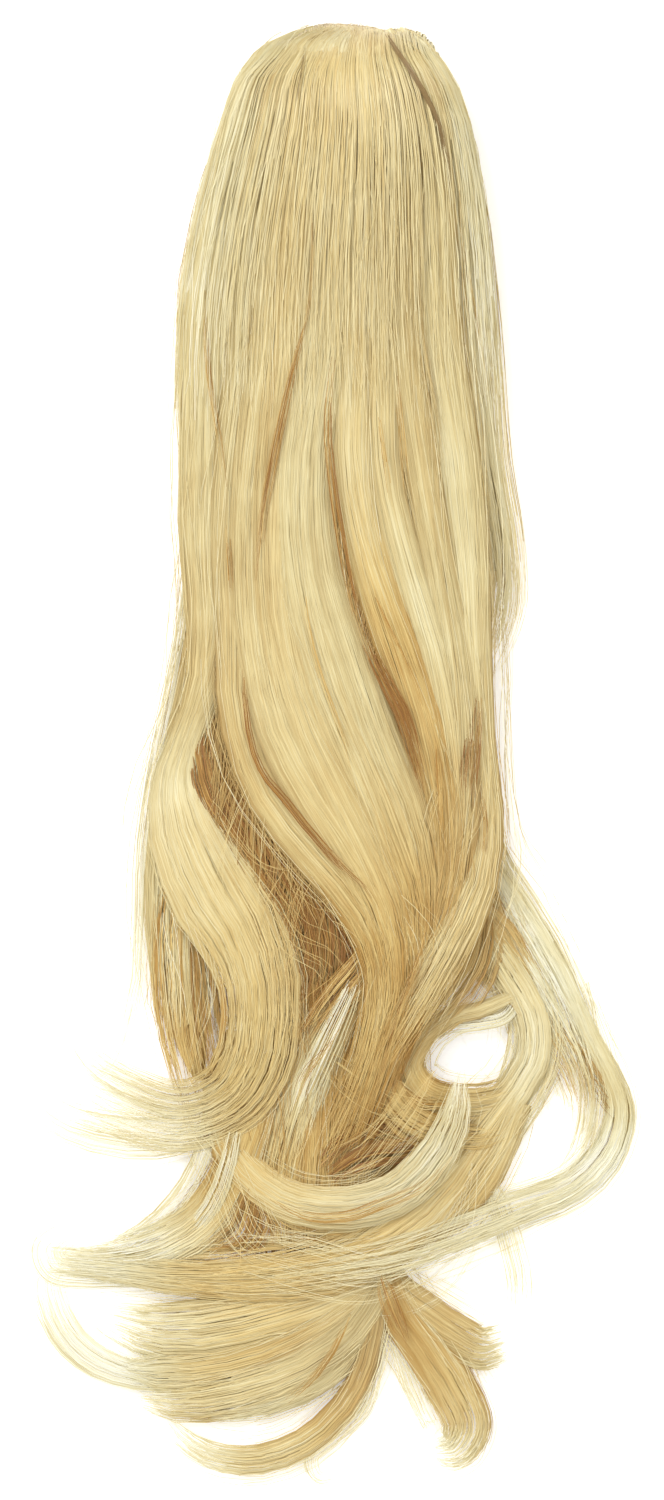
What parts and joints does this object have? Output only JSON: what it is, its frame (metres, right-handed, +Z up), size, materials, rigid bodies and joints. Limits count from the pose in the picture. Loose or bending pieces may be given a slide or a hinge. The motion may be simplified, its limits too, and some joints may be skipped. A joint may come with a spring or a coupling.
{
  "type": "clip-on pigtail hairpiece",
  "caption": "Long wavy blonde clip-on pigtail lying curls spread: two wefts of hair folded over a hidden claw clip.",
  "frame": {"origin": "middle of the floor rectangle that the lying hair covers, on the table", "axes": "+Z up from the table, +Y from the curls towards the fold over the clip, +X to the right in the picture"},
  "size_m": [0.2072, 0.5008, 0.0434],
  "materials": {
    "over_hair": "combed synthetic fibre, soft sheen",
    "under_hair": "combed synthetic fibre, soft sheen",
    "clip_plastic": "moulded, smooth"
  },
  "bodies": {
    "root": {"over_weft": "over_hair", "under_weft": "under_hair", "claw_clip": "clip_plastic"}
  },
  "joints": []
}
